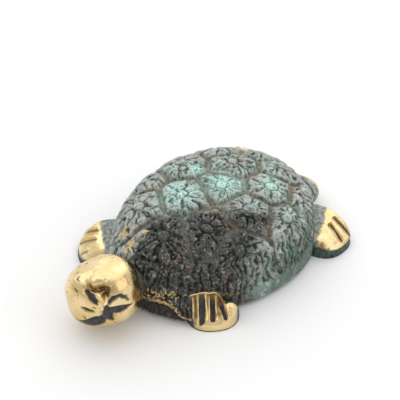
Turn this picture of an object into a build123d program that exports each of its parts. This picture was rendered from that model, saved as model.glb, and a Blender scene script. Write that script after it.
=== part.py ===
from build123d import *
from math import cos, hypot, radians, sin
import os

# Cast brass turtle figurine: a hollow shell closed by a belly plate, with the head, the feet and the
# tail let in through windows in the rim and held by screws from below. The turtle looks along -Y,
# its left side is +X, and it stands on the soles of its feet at Z = 0.

# Shell outline: an egg in plan, measured from its widest station
shell_half_width = 30.2
shell_front_reach = 41.8
shell_rear_reach = 33.2
shell_station_y = 10.6
shell_top = 25.8
rim_clearance = 1.5
rim_height = 3.4
shell_wall = 2.6
dome_fullness_share = 0.70

# Scutes: raised pads parted by grooves, with places as shares of the half width and of the reach
scute_groove_width = 1.3
scute_groove_depth = 1.0
scute_field_share = 0.86
scute_centre_shares = [
    (0.02, -0.01), (-0.20, -0.30), (0.37, -0.45), (-0.63, 0.01), (0.50, -0.06), (-0.21, 0.36),
    (0.38, 0.34), (0.10, -0.70), (0.19, 0.72), (-0.44, -0.58), (0.79, 0.17), (-0.78, -0.30),
    (-0.58, 0.55), (0.70, 0.58), (0.76, -0.38), (-0.22, 0.82),
]

# Rosettes: a ring about each scute's centre, with chisel cuts fanning out from it
rosette_ring_radius = 2.0
rosette_line_width = 0.8
rosette_cut_start = 3.2
rosette_cut_end = 6.4
rosette_cut_width = 1.1
rosette_cut_count = 6

# Rays: upright chisel marks round the flank, below the scutes
ray_count = 36
ray_width = 1.5
ray_inner_share = 0.91

# Apron: swelling of the shell's front, between the front feet and round the neck, with a bluff front
# wall, and sections as shares of its height, half width and depth
apron_half_width = 22.5
apron_depth = 11.0
apron_station = 31.4
apron_height = 16.0
apron_section_shares = [(0, 1.0, 1.0), (0.33, 1.0, 1.0), (0.70, 0.58, 0.80), (1.0, 0.30, 0.48)]

# Belly plate, let into the rim from below
rim_wall = 1.8
plate_recess = 0.5
plate_thickness = 2.8

# Tangs of the limbs, clamped between the plate and the shell's bosses
tang_width = 7.0
tang_height = 3.4
tang_length = 9.0
tang_root_share = 0.45
boss_radius = 3.4

# Feet: loft sections as shares of the foot's height, toe reach and half width
toe_reach = 13.0
heel_reach = 7.0
foot_half_width = 8.6
foot_height = 10.0
foot_section_shares = [(0, 0.96, 0.95), (0.30, 1.0, 1.0), (0.60, 0.74, 0.92), (1.0, 0.46, 0.74)]
foot_corner_share = 0.72
claw_groove_width = 1.1
claw_groove_depth = 1.0
claw_floor_share = 0.34
claw_place_shares = [-0.62, -0.20, 0.20, 0.62]
claw_start_share = 0.50
claw_end_share = 0.92
scoop_radius = 7.0
scoop_width = 13.2
scoop_place_shares = (1.026, 1.09)

# Feet: name, place as shares of the half width and of the reach, heading of the toes in degrees, and
# whether the claws lie in a scoop
feet = [
    ("foot_front_left", 0.59, -0.567, -38, True),
    ("foot_front_right", -0.695, -0.641, -128, False),
    ("foot_rear_left", 0.636, 0.715, 4, False),
    ("foot_rear_right", -0.58, 0.90, 112, False),
]

# Head: a squarish ball turned to the turtle's left, tilted up and rolled, on a short neck
head_radius = 11.4
head_half_height = 10.4
head_band_radius = 8.2
head_reach = 52.6
head_centre_z = 12.9
head_turn = 46
head_tilt = 10
head_roll = 10
neck_width = 15.0
neck_height = 11.0
neck_corner = 5.0
neck_depth = 4.5
neck_root_share = 0.7
neck_tang_width = 9.0
neck_tang_length = 12.0

# Face: places as shares of the head's radius and half height
brow_radius = 3.2
brow_place_shares = (0, -0.52, 0.58)
socket_radius = 3.0
socket_place_shares = (0.30, -0.95, 0.58)
eye_length = 5.6
eye_width = 2.0
eye_place_shares = (0.36, 0.30)
eye_slant = 45
eye_floor_share = 0.90
mouth_width = 17.0
mouth_height = 2.6
mouth_droop = 1.2
mouth_place_share = -0.24
mouth_floor_share = 0.88

# Tail: a short broad flap that leans to the turtle's left, with sections as shares of its reach and size
tail_half_width = 7.6
tail_half_height = 3.9
tail_reach = 8.2
tail_section_shares = [(-0.4, 1.0), (0.35, 0.84), (0.80, 0.56), (1.0, 0.28)]
tail_heading = 74
tail_place_shares = (0.14, 0.97)
tail_tang_width = 5.0
tail_tang_length = 8.5

# Countersunk screws: shank and head radius for the feet, the neck and the tail
foot_screw_radius = 1.5
foot_screw_head_radius = 2.8
neck_screw_radius = 2.0
neck_screw_head_radius = 3.8
tail_screw_radius = 1.25
tail_screw_head_radius = 2.3
screw_bite = 5.0
screw_cone_angle = 90
driver_slot_width = 0.8
driver_slot_depth = 0.7

# Fits and cuts
fit_gap = 0.2
hole_clearance = 0.15
thread_clearance = 0.05
thread_runout = 1.0
overrun = 2.0

# Levels and outlines that follow from the sizes above
rim_top = rim_clearance + rim_height
plate_bottom = rim_clearance + plate_recess
plate_top = plate_bottom + plate_thickness
tang_top = plate_top + tang_height
wall_inset = scute_groove_depth + shell_wall
far = shell_front_reach + shell_rear_reach + head_reach


def shell_point(x_share, y_share):
    """Place on the plan, as shares of the half width and of the reach towards the head or the tail."""
    reach = shell_rear_reach if y_share > 0 else shell_front_reach
    return (x_share * shell_half_width, shell_station_y + y_share * reach)


def toward(heading):
    """Level direction of a heading in degrees."""
    return (cos(radians(heading)), sin(radians(heading)), 0)


def ahead(place, heading, distance):
    """Place at a distance from another, along a heading in degrees."""
    step = toward(heading)
    return (place[0] + distance * step[0], place[1] + distance * step[1])


def level(height):
    """Horizontal plane at a height, with its origin at the shell's widest station."""
    return Plane((0, shell_station_y, height))


def egg(inset):
    """Egg-shaped sketch about the widest station, drawn in from the shell's outline."""
    width = shell_half_width - inset
    with BuildSketch() as outline:
        with BuildLine():
            EllipticalCenterArc((0, 0), width, shell_rear_reach - inset, 0, arc_size=180)
            EllipticalCenterArc((0, 0), width, shell_front_reach - inset, 180, arc_size=180)
        make_face()
    return outline.sketch


def dome(inset, bottom):
    """Egg-shaped dome, drawn in from the shell's outside, standing on a flat face at the given height."""
    width = shell_half_width - inset
    top = shell_top - inset
    shoulder = rim_top + dome_fullness_share * (top - rim_top)
    halves = []
    for reach, side in ((shell_front_reach - inset, Keep.TOP), (shell_rear_reach - inset, Keep.BOTTOM)):
        with BuildPart() as half:
            with BuildSketch(Plane.XZ):
                with BuildLine():
                    brow = (dome_fullness_share * width, top)
                    Polyline((0, top), (0, bottom), (width, bottom), (width, rim_top))
                    Bezier((width, rim_top), (width, shoulder), brow, (0, top))
                make_face()
            revolve(axis=Axis.Z)
            scale(by=(1, reach / width, 1))
            split(bisect_by=Plane.XZ, keep=side)
        halves.append(half.part)
    with BuildPart() as whole:
        add(halves)
    return whole.part.moved(Location((0, shell_station_y, 0)))


def apron_form(bottom, spread):
    """Front swelling as a stack of ovals from a bottom height, spread all round."""
    with BuildPart() as form:
        for height_share, width_share, depth_share in apron_section_shares:
            height = rim_clearance + height_share * apron_height if height_share > 0 else bottom
            with BuildSketch(Plane((0, shell_station_y - apron_station, height))):
                Ellipse(width_share * apron_half_width + spread, depth_share * apron_depth + spread)
        loft(ruled=True)
    return form.part


def trimmed(outline, near, away):
    """Convex outline cut back to the points nearer to one scute's centre, less half a groove."""
    span = hypot(away[0] - near[0], away[1] - near[1])
    across = ((away[0] - near[0]) / span, (away[1] - near[1]) / span)
    limit = span / 2 - scute_groove_width / 2
    depth = [(p[0] - near[0]) * across[0] + (p[1] - near[1]) * across[1] - limit for p in outline]
    kept = []
    for i, point in enumerate(outline):
        before = outline[i - 1]
        if (depth[i] > 0) != (depth[i - 1] > 0):
            share = depth[i - 1] / (depth[i - 1] - depth[i])
            step = (point[0] - before[0], point[1] - before[1])
            kept.append((before[0] + share * step[0], before[1] + share * step[1]))
        if depth[i] <= 0:
            kept.append(point)
    return kept


def tang(place, heading, width, inner, outer, screw_radius):
    """Flat bar through the rim, from its rounded and drilled inner end to its root inside the limb."""
    with BuildPart() as bar:
        with BuildSketch(Plane((*place, plate_top), x_dir=toward(heading))):
            with Locations(((outer - inner) / 2, 0)):
                Rectangle(outer + inner, width)
            with Locations((-inner, 0)):
                Circle(width / 2)
                Circle(screw_radius + hole_clearance, mode=Mode.SUBTRACT)
        extrude(amount=tang_height)
    return bar.part


def head_form():
    """Squarish ball turned about Z: a wide cap above and below, and a rounder band tangent to both."""
    band_centre = head_radius - head_band_radius
    cap_radius = (head_half_height**2 + band_centre**2 - head_band_radius**2) / (
        2 * (head_half_height - head_band_radius)
    )
    cap_centre = head_half_height - cap_radius
    lean = hypot(band_centre, cap_centre)
    meet = (cap_radius * band_centre / lean, cap_centre - cap_radius * cap_centre / lean)
    with BuildPart() as form:
        with BuildSketch(Plane.XZ):
            with BuildLine():
                TangentArc((0, head_half_height), meet, tangent=(1, 0))
                ThreePointArc(meet, (head_radius, 0), (meet[0], -meet[1]))
                TangentArc((0, -head_half_height), (meet[0], -meet[1]), tangent=(1, 0))
                Line((0, -head_half_height), (0, head_half_height))
            make_face()
        revolve(axis=Axis.Z)
    return form.part


def foot_form(place, heading, scooped, inset):
    """Foot without its grooves, lofted from the sole to the instep and drawn in all round by the inset."""
    toes = toward(heading)
    with BuildPart() as form:
        for height_share, toe_share, width_share in foot_section_shares:
            reach = toe_share * toe_reach - inset
            half_width = width_share * foot_half_width - inset
            with BuildSketch(Plane((*place, height_share * foot_height - inset), x_dir=toes)):
                with Locations(((reach - heel_reach) / 2, 0)):
                    RectangleRounded(reach + heel_reach, 2 * half_width, foot_corner_share * half_width)
        loft()
        if scooped:
            reach = scoop_place_shares[0] * toe_reach
            middle = (*ahead(place, heading, reach), scoop_place_shares[1] * foot_height)
            with Locations(Plane(middle, x_dir=toes, z_dir=(-toes[1], toes[0], 0)).location):
                Cylinder(scoop_radius + inset, scoop_width, mode=Mode.SUBTRACT)
    return form.part


def screw(radius, cap_radius):
    """Countersunk screw standing on its slotted head, long enough to bite into a boss."""
    length = plate_thickness + tang_height + screw_bite
    with BuildPart() as body:
        with BuildSketch(Plane.XZ):
            with BuildLine():
                shoulder = (radius, cap_radius - radius)
                Polyline((0, 0), (cap_radius, 0), shoulder, (radius, length), (0, length), close=True)
            make_face()
        revolve(axis=Axis.Z)
        with Locations((0, 0, driver_slot_depth / 2)):
            Box(cap_radius * 2, driver_slot_width, driver_slot_depth, mode=Mode.SUBTRACT)
    return body.part


# Where each limb stands, how it heads, and the width and length of its tang, with its screw's radii
neck_place = (0, shell_station_y - shell_front_reach)
tail_place = shell_point(*tail_place_shares)
seats = []
for name, x_share, y_share, heading, scooped in feet:
    seats.append((shell_point(x_share, y_share), heading, tang_width, tang_length))
seats.append((neck_place, -90, neck_tang_width, neck_tang_length))
seats.append((tail_place, tail_heading, tail_tang_width, tail_tang_length))
screw_radii = [(foot_screw_radius, foot_screw_head_radius)] * len(feet)
screw_radii.append((neck_screw_radius, neck_screw_head_radius))
screw_radii.append((tail_screw_radius, tail_screw_head_radius))
screw_places = [ahead(place, heading, -length) for place, heading, width, length in seats]

rebate = egg(rim_wall)
plate_outline = egg(rim_wall + fit_gap)
outside = dome(0, rim_clearance)
groove_floor = dome(scute_groove_depth, rim_clearance)
hollow = dome(wall_inset, plate_top)
apron = apron_form(rim_clearance, 0)
with BuildPart() as clear_of_shell:
    add(dome(-fit_gap, 0))
    add(apron_form(0, fit_gap))

# Relief: grooves round each pad's outline, with the rosettes and the rays, down to the groove floor
scute_places = [shell_point(*shares) for shares in scute_centre_shares]
scute_field = egg((1 - scute_field_share) * shell_half_width)
with BuildPart() as relief:
    with BuildSketch(level(rim_top)):
        add(scute_field)
        for place in scute_places:
            outline = [(far, far), (-far, far), (-far, -far), (far, -far)]
            for other in scute_places:
                if other != place:
                    outline = trimmed(outline, place, other)
            with BuildLine():
                Polyline(*[(x, y - shell_station_y) for x, y in outline], close=True)
            make_face(mode=Mode.SUBTRACT)
        with Locations(*[(x, y - shell_station_y) for x, y in scute_places]):
            Circle(rosette_ring_radius + rosette_line_width / 2)
            Circle(rosette_ring_radius - rosette_line_width / 2, mode=Mode.SUBTRACT)
            with PolarLocations((rosette_cut_start + rosette_cut_end) / 2, rosette_cut_count):
                Rectangle(rosette_cut_end - rosette_cut_start, rosette_cut_width)
        for turn in range(ray_count):
            bearing = radians(360 * turn / ray_count)
            x, y = shell_point(cos(bearing), sin(bearing))
            run = Vector(x, y - shell_station_y)
            with Locations(Location(run * (1 + ray_inner_share) / 2, run.get_signed_angle(Vector(1, 0)))):
                Rectangle(run.length * (1 - ray_inner_share), ray_width)
    extrude(amount=shell_top)
    add(groove_floor, mode=Mode.SUBTRACT)

# Bosses: columns that hang from the dome's inside, down to the tops of the tangs
with BuildPart() as bosses:
    with Locations(*[(x, y, tang_top) for x, y in screw_places]):
        Cylinder(boss_radius, shell_top, align=(Align.CENTER, Align.CENTER, Align.MIN))
    add(groove_floor, mode=Mode.INTERSECT)

# Neck: rounded bar from inside the front wall to the middle of the head
neck_back = (0, neck_place[1] + neck_depth, plate_top + neck_height / 2)
neck_section = Plane(neck_back, x_dir=(1, 0, 0), z_dir=(0, -1, 0))
neck_run = neck_depth + neck_root_share * (head_reach - shell_front_reach)

# Carapace: hollow dome with its relief, apron, rebate, bosses, windows and screw holes
with BuildPart() as carapace:
    add(outside)
    add(relief.part, mode=Mode.SUBTRACT)
    add(apron)
    add(hollow, mode=Mode.SUBTRACT)
    with BuildSketch(level(0)):
        add(rebate)
    extrude(amount=plate_top, mode=Mode.SUBTRACT)
    add(bosses.part)
    for place, heading, width, length in seats:
        with BuildSketch(Plane((*place, plate_top), x_dir=toward(heading))):
            Rectangle(length * 2, width + 2 * fit_gap)
        extrude(amount=tang_height, mode=Mode.SUBTRACT)
    with BuildSketch(neck_section.offset(-fit_gap)):
        RectangleRounded(neck_width + 2 * fit_gap, neck_height + 2 * fit_gap, neck_corner + fit_gap)
    extrude(amount=neck_run, mode=Mode.SUBTRACT)
    for (x, y), (shank_radius, cap_radius) in zip(screw_places, screw_radii):
        with Locations((x, y, tang_top)):
            Cylinder(shank_radius + thread_clearance, 2 * (screw_bite + thread_runout), mode=Mode.SUBTRACT)
carapace.part.label = "carapace"

# Plastron: plate that drops into the rim's rebate, countersunk for each screw
with BuildPart() as plastron:
    with BuildSketch(level(plate_bottom)):
        add(plate_outline)
    extrude(amount=plate_thickness)
    for (x, y), (shank_radius, cap_radius) in zip(screw_places, screw_radii):
        with Locations(Location((x, y, plate_bottom), (180, 0, 0))):
            CounterSinkHole(
                shank_radius + hole_clearance,
                cap_radius + hole_clearance,
                depth=plate_thickness + overrun,
                counter_sink_angle=screw_cone_angle,
            )
plastron.part.label = "plastron"

# Face: eyes and mouth as shallow cuts with round floors inside the head's surface
with BuildPart() as eyes:
    with BuildSketch(Plane.XZ):
        for side in (-1, 1):
            across, rise = eye_place_shares[0] * head_radius, eye_place_shares[1] * head_half_height
            with Locations((side * across, rise)):
                Ellipse(eye_length / 2, eye_width / 2, rotation=-side * eye_slant)
    extrude(amount=head_radius + overrun)
    Cylinder(eye_floor_share * head_radius, 2 * head_half_height, mode=Mode.SUBTRACT)
mouth_z = mouth_place_share * head_half_height
with BuildPart() as mouth:
    with BuildSketch(Plane.XZ):
        with BuildLine(mode=Mode.PRIVATE) as smile:
            corner = (mouth_width / 2, mouth_z - mouth_droop)
            ThreePointArc((-corner[0], corner[1]), (0, mouth_z), corner)
        SlotArc(smile.wire(), mouth_height)
    extrude(amount=head_radius + overrun)
    Cylinder(mouth_floor_share * head_radius, 2 * head_half_height, mode=Mode.SUBTRACT)


def on_head(shares, side):
    """Point on the head, as shares of its radius across and ahead, and of its half height."""
    return (side * shares[0] * head_radius, shares[1] * head_radius, shares[2] * head_half_height)


# Head in its own frame, looking along -Y
with BuildPart() as face:
    add(head_form())
    with Locations(on_head(brow_place_shares, 1)):
        Sphere(brow_radius)
    with Locations(on_head(socket_place_shares, -1), on_head(socket_place_shares, 1)):
        Sphere(socket_radius, mode=Mode.SUBTRACT)
    add(eyes.part, mode=Mode.SUBTRACT)
    add(mouth.part, mode=Mode.SUBTRACT)

# Head: the face turned, tilted and rolled into place, hollowed to the shell's front, with neck and tang
head_seat = Location((0, shell_station_y - head_reach, head_centre_z), (0, 0, head_turn))
head_pose = head_seat * Rotation(-head_tilt, 0, 0) * Rotation(0, -head_roll, 0)
with BuildPart() as head:
    add(face.part.moved(head_pose))
    add(clear_of_shell.part, mode=Mode.SUBTRACT)
    with BuildSketch(neck_section):
        RectangleRounded(neck_width, neck_height, neck_corner)
    extrude(amount=neck_run)
    add(tang(neck_place, -90, neck_tang_width, neck_tang_length, 0, neck_screw_radius))
head.part.label = "head"

# Feet: each trimmed to the shell, with its claw grooves, tang and screw hole
pieces = [carapace, plastron, head]
claw_middle = toe_reach * (claw_start_share + claw_end_share) / 2
claw_length = toe_reach * (claw_end_share - claw_start_share)
for name, x_share, y_share, heading, scooped in feet:
    place = shell_point(x_share, y_share)
    with BuildPart() as claws:
        with BuildSketch(Plane((*place, claw_floor_share * foot_height), x_dir=toward(heading))):
            with Locations(*[(claw_middle, share * foot_half_width) for share in claw_place_shares]):
                Rectangle(claw_length, claw_groove_width)
        extrude(amount=foot_height)
        add(foot_form(place, heading, scooped, claw_groove_depth), mode=Mode.SUBTRACT)
    with BuildPart() as foot:
        add(foot_form(place, heading, scooped, 0))
        add(claws.part, mode=Mode.SUBTRACT)
        add(clear_of_shell.part, mode=Mode.SUBTRACT)
        add(tang(place, heading, tang_width, tang_length, tang_root_share * toe_reach, foot_screw_radius))
    foot.part.label = name
    pieces.append(foot)

# Tail: flap lofted along its heading, trimmed to the shell, with its tang and screw hole
tail_middle_z = rim_clearance + tail_half_height
along = toward(tail_heading)
with BuildPart() as flap:
    for reach_share, size_share in tail_section_shares:
        middle = (*ahead(tail_place, tail_heading, reach_share * tail_reach), tail_middle_z)
        with BuildSketch(Plane(middle, x_dir=(-along[1], along[0], 0), z_dir=along)):
            Ellipse(size_share * tail_half_width, size_share * tail_half_height)
    loft()
with BuildPart() as tail:
    add(flap.part)
    add(clear_of_shell.part, mode=Mode.SUBTRACT)
    tail_root = tang_root_share * tail_reach
    add(tang(tail_place, tail_heading, tail_tang_width, tail_tang_length, tail_root, tail_screw_radius))
tail.part.label = "tail"
pieces.append(tail)

# Screws, driven from below and flush with the plate
with BuildPart() as foot_screws:
    for x, y in screw_places[: len(feet)]:
        add(screw(foot_screw_radius, foot_screw_head_radius).moved(Location((x, y, plate_bottom))))
foot_screws.part.label = "foot_screws"
with BuildPart() as neck_screw:
    add(screw(neck_screw_radius, neck_screw_head_radius).moved(Location((*screw_places[-2], plate_bottom))))
neck_screw.part.label = "neck_screw"
with BuildPart() as tail_screw:
    add(screw(tail_screw_radius, tail_screw_head_radius).moved(Location((*screw_places[-1], plate_bottom))))
tail_screw.part.label = "tail_screw"
pieces += [foot_screws, neck_screw, tail_screw]

os.makedirs("parts", exist_ok=True)
for piece in pieces:
    export_step(piece.part, f"parts/{piece.part.label}.step")
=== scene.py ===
import bpy
import numpy as np
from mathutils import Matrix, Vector


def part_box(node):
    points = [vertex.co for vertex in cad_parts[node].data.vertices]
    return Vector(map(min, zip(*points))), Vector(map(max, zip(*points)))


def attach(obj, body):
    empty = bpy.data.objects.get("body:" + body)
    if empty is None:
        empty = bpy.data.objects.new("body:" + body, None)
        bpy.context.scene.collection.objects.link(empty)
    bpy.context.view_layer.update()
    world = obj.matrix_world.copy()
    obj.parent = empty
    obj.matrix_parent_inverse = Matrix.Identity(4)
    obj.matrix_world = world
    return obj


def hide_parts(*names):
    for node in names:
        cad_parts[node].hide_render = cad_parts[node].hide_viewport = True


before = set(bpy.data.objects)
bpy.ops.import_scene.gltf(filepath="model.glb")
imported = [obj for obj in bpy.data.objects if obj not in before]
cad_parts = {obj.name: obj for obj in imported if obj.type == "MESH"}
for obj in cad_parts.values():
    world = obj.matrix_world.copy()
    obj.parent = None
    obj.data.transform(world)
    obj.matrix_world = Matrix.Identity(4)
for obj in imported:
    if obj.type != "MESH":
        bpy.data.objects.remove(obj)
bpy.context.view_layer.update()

# Carapace: the shell, a hollow brass casting with raised scutes over its dome and a bluff apron in front.
# It was blackened all over, and verdigris has since grown on the crown and in the hollows.
# The belly plate and the limbs are screwed to bosses inside it.
MM = 0.001
shell_low, shell_high = (np.array(corner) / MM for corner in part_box("carapace"))
half_width = shell_high[0]
front_reach = 41.8
rear_reach = 33.2
widest_y = shell_high[1] - rear_reach
rim_low = shell_low[2]
rim_height = 3.4
rim_top = rim_low + rim_height
dome_height = shell_high[2] - rim_top
dome_fullness = 0.78
rear_flattening = 0.65
shell_wall = 2.6

# Apron: an oval ahead of the middle, with its half width and depth by height
apron_station = 31.4
apron_levels = [1.5, 3.5, 6.8, 12.7, 17.5, 21.5]
apron_half_widths = [22.5, 22.0, 19.0, 15.5, 11.0, 6.0]
apron_depths = [11.0, 11.0, 11.0, 11.0, 9.4, 4.0]
apron_blend = 2.4

# Scutes: place as shares of the half width and of the reach, and size in millimetres
scutes = np.array([
    (0.02, -0.01, 7.6), (-0.17, -0.31, 9.2), (0.37, -0.45, 9.4), (-0.63, 0.01, 9.6),
    (0.50, -0.06, 8.2), (-0.21, 0.36, 8.8), (0.38, 0.34, 8.4), (0.10, -0.70, 9.4),
    (0.19, 0.72, 8.6), (-0.44, -0.58, 9.6), (0.79, 0.17, 7.0), (-0.78, -0.30, 9.0),
    (-0.58, 0.55, 9.0), (0.70, 0.58, 8.4), (0.76, -0.38, 8.6), (-0.22, 0.82, 8.8),
])
scute_field_share = 0.90
cell_wander = 0.8

# Scute carving: depths and radii in millimetres
groove_depth = 1.20
moat_depth = 0.58
moat_radius = 2.35
petal_depth = 0.62
stroke_depth = 0.60
tip_depth = 0.18
tip_radius = 6.3
pad_rounding = 0.45
fewest_petals = 6
disc_lean = 1.7
disc_oval = 1.2

# Flank carving: counts round the shell, and depths in millimetres
wave_count = 52
wave_depth = 0.30
hair_count = 120
hair_depth = 0.40
lump_depth = 0.58
flank_depth = 0.32
band_depth = 0.30
cast_depth = 0.22

# Lip over the bluff front: height in the middle, and its drop to the sides
lip_middle_height = 7.0
lip_side_drop = 5.2
lip_undercut = 0.9

# Verdigris: place from the widest station in millimetres, spread and strength
bloom_spots = [
    (-6.3, -13.2, 5.6, 1.4), (0.2, 0.8, 5.6, 1.3), (11.3, 11.6, 3.4, 1.2), (-12.4, 0.6, 2.8, 1.3),
    (-19.6, -5.1, 3.4, 0.40), (-9.2, 7.7, 2.2, 0.50), (6.1, 16.4, 3.0, 0.45), (14.5, 0.8, 2.2, 0.55),
    (22.0, 9.0, 3.6, 0.35), (2.0, 24.0, 3.4, 0.35),
]
low_bloom_spot = [(25.5, -11.5, 6.0, 1.0)]

# Worn gold: place from the widest station in millimetres, spread and strength
gilt_spots = [
    (-3.2, -31.0, 1.3, 1.0), (-10.8, -34.2, 2.2, 0.90), (-4.2, -37.5, 2.3, 1.1), (9.5, -40.5, 2.9, 0.98),
    (14.4, -37.6, 2.2, 0.66), (24.2, -20.5, 1.8, 0.45),
]

# Hash for the grain: uneven numbers that part neighbouring cubes
hash_shift = 7.13
hash_weights = np.array([12.71, 31.17, 7.47])
hash_gain = 43758.5453
tiny = 1e-6


def ramp(value, start, end):
    """Smooth step from 0 at start to 1 at end, level at both."""
    t = np.clip((value - start) / (end - start), 0, 1)
    return t * t * (3 - 2 * t)


def bell(value, centre, width):
    """Bell curve of height 1 about the centre."""
    return np.exp(-(((value - centre) / width) ** 2))


def grain(points, size, seed):
    """Noise from -1 to 1: hashed numbers at the corners of cubes of that size, blended by smooth steps."""
    scaled = points / size + hash_shift * seed
    cell = np.floor(scaled)
    blend = scaled - cell
    blend = blend * blend * (3 - 2 * blend)
    total = np.zeros(points.shape[:-1])
    for corner in np.ndindex(2, 2, 2):
        mixed = np.sin((cell + corner) @ hash_weights) * hash_gain
        total += np.where(corner, blend, 1 - blend).prod(axis=-1) * (mixed - np.floor(mixed))
    return 2 * total - 1


def rough(points, size, seed, layers=3):
    """Layers of grain, each half the size and half the strength of the one before, scaled to -1 to 1."""
    total = sum(grain(points, size / 2**layer, seed + layer) / 2**layer for layer in range(layers))
    return total / (2 - 0.5 ** (layers - 1))


def spots(across, ahead, places):
    """Sum of bell curves about the places, each with its spread and strength."""
    return sum(
        strength * bell(np.hypot(across - x, ahead - y), 0, spread) for x, y, spread, strength in places
    )


def softened(values, passes):
    """Grid averaged with its four neighbours, over and over, so that only broad forms are left."""
    for _ in range(passes):
        beside = np.roll(values, 1, axis=1) + np.roll(values, -1, axis=1)
        ends = np.concatenate([values[:1], values, values[-1:]])
        values = (values + beside + ends[:-2] + ends[2:]) / 5
    return values


def outward(rings):
    """Unit normals of a closed grid: the step along the grid crossed with the step around it."""
    around = np.roll(rings, -1, axis=1) - np.roll(rings, 1, axis=1)
    normal = np.cross(np.gradient(rings, axis=0), around)
    return normal / np.maximum(np.linalg.norm(normal, axis=-1, keepdims=True), 1e-9)


def closed_skin(name, rings, first_pole, last_pole, marks):
    """Closed mesh from rings in millimetres: quads between the rings and a fan to a pole at each end.
    The marks are numbers that it stores at each point, for the materials."""
    rows, turns = rings.shape[:2]
    points = np.concatenate([rings.reshape(-1, 3), [first_pole], [last_pole]]) * MM
    index = np.arange(rows * turns).reshape(rows, turns)
    beside = np.roll(index, -1, axis=1)
    quads = np.stack([index[:-1], index[1:], beside[1:], beside[:-1]], axis=-1).reshape(-1, 4)
    first = np.stack([np.full(turns, rows * turns), index[0], beside[0]], axis=-1)
    last = np.stack([index[-1], np.full(turns, rows * turns + 1), beside[-1]], axis=-1)
    mesh = bpy.data.meshes.new(name)
    mesh.from_pydata(points.tolist(), [], quads.tolist() + first.tolist() + last.tolist())
    mesh.shade_smooth()
    for mark, values in marks.items():
        ends = [values[0].mean(), values[-1].mean()]
        layer = mesh.attributes.new(mark, "FLOAT", "POINT")
        layer.data.foreach_set("value", np.concatenate([values.reshape(-1), ends]))
    piece = bpy.data.objects.new(name, mesh)
    bpy.context.collection.objects.link(piece)
    return piece


def dome_curve(share):
    """Meridian from crown to rim, as shares of plan radius and height: a cubic, level then upright."""
    rise = 1 - share
    radius = share**3 + 3 * share**2 * rise + 3 * share * rise**2 * dome_fullness
    height = 3 * share**2 * rise * dome_fullness + 3 * share * rise**2 + rise**3
    return radius, height


def with_apron(rings):
    """Rings pushed out in plan to the apron by a soft maximum of two reaches from the shell's middle: the
    dome's own, and that of the line that meets the apron's oval, which shrinks upward."""
    plan = rings[..., :2]
    reach = np.linalg.norm(plan, axis=-1)
    across, ahead = np.moveaxis(plan / np.maximum(reach, tiny)[..., None], -1, 0)
    wide = np.interp(rings[..., 2], apron_levels, apron_half_widths)
    deep = np.interp(rings[..., 2], apron_levels, apron_depths)
    square = (across / wide) ** 2 + (ahead / deep) ** 2
    cross = ahead * apron_station / deep**2
    inner = cross**2 - square * ((apron_station / deep) ** 2 - 1)
    apron = np.where(inner > 0, (np.sqrt(np.maximum(inner, 0)) - cross) / square, 0)
    gain = apron - reach
    pushed = reach + 0.5 * (gain + np.sqrt(gain**2 + apron_blend**2)) * ramp(ahead, -0.2, -0.6)
    pushed = np.where(rings[..., 2] < apron_levels[-1], pushed, reach)
    return np.concatenate([plan * (pushed / np.maximum(reach, tiny))[..., None], rings[..., 2:]], axis=-1)


def shell_grid(turns, dome_rows, wall_rows, fine_steps=600):
    """Outer face of the shell by angle and by length down the meridian, with the same points rolled out flat,
    the scutes' centres on that flat, and how far each ring is inside the scutes' field."""
    angle = np.linspace(0, 2 * np.pi, turns, endpoint=False)
    reach = np.where(np.sin(angle) > 0, rear_reach, front_reach)
    plan = np.stack([half_width * np.cos(angle), reach * np.sin(angle)], axis=-1)
    mean_reach = np.linalg.norm(plan, axis=-1).mean()
    fine_radius, fine_height = dome_curve(np.linspace(0, 1, fine_steps))
    steps = np.hypot(np.diff(fine_radius) * mean_reach, np.diff(fine_height) * dome_height)
    length = np.concatenate([[0], np.cumsum(steps)])
    down = np.linspace(0, length[-1], dome_rows + 1)[1:]
    radius = np.interp(down, length, fine_radius)
    height = rim_top + dome_height * np.interp(down, length, fine_height)
    wall = np.linspace(0, 1, wall_rows + 1)[1:]
    radius = np.concatenate([radius, np.ones(wall_rows)])[:, None, None]
    height = np.concatenate([height, rim_top + (rim_low - rim_top) * wall])[:, None, None]
    rings = with_apron(np.concatenate([radius * plan, np.tile(height, (1, turns, 1))], axis=-1))
    rolled = np.concatenate([down, length[-1] + (rim_top - rim_low) * wall])
    flat = (rolled / mean_reach)[:, None, None] * plan
    shares = np.hypot(scutes[:, 0], scutes[:, 1])
    stretch = np.interp(shares, fine_radius, length) / mean_reach / shares
    reaches = np.where(scutes[:, 1] > 0, rear_reach, front_reach)
    centres = np.stack([scutes[:, 0] * half_width, scutes[:, 1] * reaches], axis=-1) * stretch[:, None]
    inside = (np.interp(scute_field_share, fine_radius, length) - rolled)[:, None]
    return rings, flat, angle, centres, inside


def scute_cells(points, flat, centres):
    """The scute whose circle is nearest to each point, the arm from its centre, and the distance to the edge
    where the next scute's circle is as near."""
    wander = np.stack([rough(points, 7.0, 1), rough(points, 7.0, 5)], axis=-1)
    warped = flat + cell_wander * wander
    power = ((warped[..., None, :] - centres) ** 2).sum(axis=-1) - scutes[:, 2] ** 2
    own = power.argmin(axis=-1)
    spacing = np.linalg.norm(centres[:, None] - centres, axis=-1) + tiny
    lead = (power - power.min(axis=-1, keepdims=True)) / (2 * spacing[own])
    lead = np.where(np.arange(len(scutes)) == own[..., None], np.inf, lead)
    return own, warped - centres[own], lead.min(axis=-1)


def chisel_grain(own, bearing, out, count, length, seed):
    """Grain drawn out along the lines that fan from a scute's centre, so that it reads as chisel strokes."""
    fan = np.stack([count * np.cos(bearing), count * np.sin(bearing), out / length + 3.1 * own], axis=-1)
    return grain(fan, 1.0, seed)


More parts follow.
